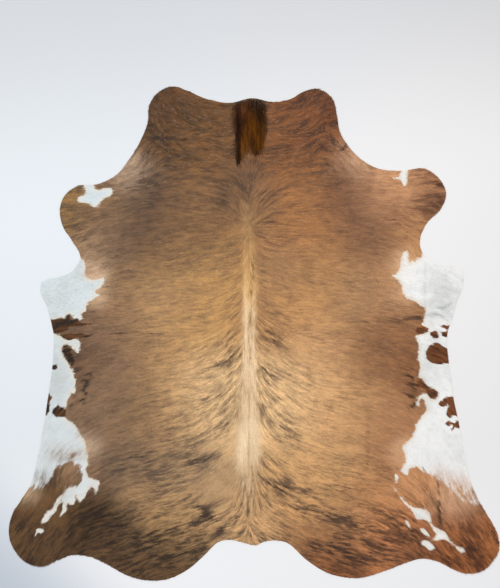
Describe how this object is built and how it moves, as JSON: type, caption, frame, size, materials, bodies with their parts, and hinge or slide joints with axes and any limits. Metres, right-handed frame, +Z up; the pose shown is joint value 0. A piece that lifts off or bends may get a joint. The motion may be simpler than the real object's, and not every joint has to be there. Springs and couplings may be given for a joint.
{
  "type": "cowhide rug",
  "caption": "Flat hair-on skin rug trimmed to the natural outline of neck, legs, rump and tail, with a mane ridge along the neck and shallow creases.",
  "frame": {"origin": "middle of the outline's box, on the underside that lies on the floor", "axes": "+Z up, out of the hair side; +Y towards the neck; +X to the right, seen from above with the neck away"},
  "size_m": [2.451, 2.4688, 0.0125],
  "materials": {
    "cowhide": "short lying hair, brindle golden brown with white and dark brown patches, on a suede skin"
  },
  "bodies": {
    "root": {"hide": "cowhide"}
  },
  "joints": []
}
